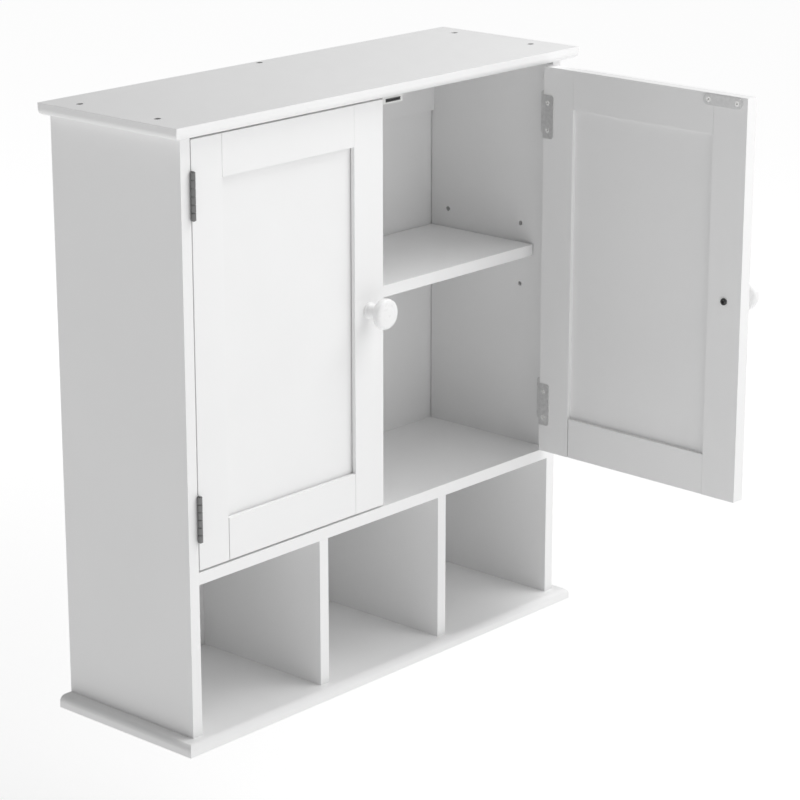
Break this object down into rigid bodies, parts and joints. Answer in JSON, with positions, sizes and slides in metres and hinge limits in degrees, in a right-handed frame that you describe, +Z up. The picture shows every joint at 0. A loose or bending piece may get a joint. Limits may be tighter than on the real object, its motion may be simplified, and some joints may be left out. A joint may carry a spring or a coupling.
{
  "type": "hanging wall cabinet",
  "caption": "White wall cabinet with framed inset doors on butt hinges over an adjustable shelf, open cubbies below, and moulded top and bottom boards.",
  "frame": {"origin": "on the wall plane, midway between the two fixing holes of the hanging rail", "axes": "+Z up, +Y into the wall, +X to the right as seen from the front of the cabinet"},
  "size_m": [0.566, 0.4286, 0.6],
  "materials": {
    "board_paint": "satin white paint on fibreboard",
    "panel_paint": "satin white paint on thin fibreboard",
    "knob_paint": "semi-gloss white paint on turned wood",
    "hinge_steel": "satin nickel plate",
    "zinc_screws": "zinc plate",
    "dark_screws": "black oxide",
    "pin_steel": "nickel plate",
    "strike_steel": "white-lacquered steel",
    "pole_steel": "zinc plate",
    "magnet": "dark sintered ferrite",
    "catch_plastic": "matte white moulded plastic",
    "beech": "bare fluted beech"
  },
  "bodies": {
    "carcass": {"top_board": "board_paint", "bottom_board": "board_paint", "left_side_panel": "board_paint", "right_side_panel": "board_paint", "fixed_shelf": "board_paint", "left_divider": "board_paint", "right_divider": "board_paint", "back_panel": "panel_paint", "hanging_rail": "board_paint", "shelf_pins": "pin_steel", "top_screws": "dark_screws", "bottom_screws": "dark_screws", "shelf_dowels": "beech", "rail_dowels": "beech", "divider_dowels": "beech", "catch_screws": "zinc_screws", "frame_leaf_screws": "zinc_screws", "left_upper_frame_leaf": "hinge_steel", "left_lower_frame_leaf": "hinge_steel", "left_upper_hinge_pin": "hinge_steel", "left_lower_hinge_pin": "hinge_steel", "left_catch_housing": "catch_plastic", "left_catch_magnet": "magnet", "left_catch_poles": "pole_steel", "right_upper_frame_leaf": "hinge_steel", "right_lower_frame_leaf": "hinge_steel", "right_upper_hinge_pin": "hinge_steel", "right_lower_hinge_pin": "hinge_steel", "right_catch_housing": "catch_plastic", "right_catch_magnet": "magnet", "right_catch_poles": "pole_steel"},
    "adjustable_shelf": {"adjustable_shelf": "board_paint"},
    "left_door": {"left_hinge_stile": "board_paint", "left_free_stile": "board_paint", "left_top_rail": "board_paint", "left_bottom_rail": "board_paint", "left_panel": "panel_paint", "left_knob": "knob_paint", "left_knob_screw": "zinc_screws", "left_strike_plate": "strike_steel", "left_strike_screws": "zinc_screws", "left_upper_door_leaf": "hinge_steel", "left_lower_door_leaf": "hinge_steel", "left_door_leaf_screws": "zinc_screws"},
    "right_door": {"right_hinge_stile": "board_paint", "right_free_stile": "board_paint", "right_top_rail": "board_paint", "right_bottom_rail": "board_paint", "right_panel": "panel_paint", "right_knob": "knob_paint", "right_knob_screw": "zinc_screws", "right_strike_plate": "strike_steel", "right_strike_screws": "zinc_screws", "right_upper_door_leaf": "hinge_steel", "right_lower_door_leaf": "hinge_steel", "right_door_leaf_screws": "zinc_screws"}
  },
  "joints": [
    {"name": "left_door_swing", "type": "hinge", "parent": "carcass", "child": "left_door", "pos_m": [-0.2553, -0.1744, -0.17125], "axis": [0, 0, -1], "range_deg": [0, 180]},
    {"name": "right_door_swing", "type": "hinge", "parent": "carcass", "child": "right_door", "pos_m": [0.2553, -0.1744, -0.17125], "axis": [0, 0, 1], "range_deg": [-89, 91]},
    {"name": "shelf_lift", "type": "slide", "parent": "carcass", "child": "adjustable_shelf", "axis": [0, 0, 1], "range_m": [0, 0.06]}
  ]
}
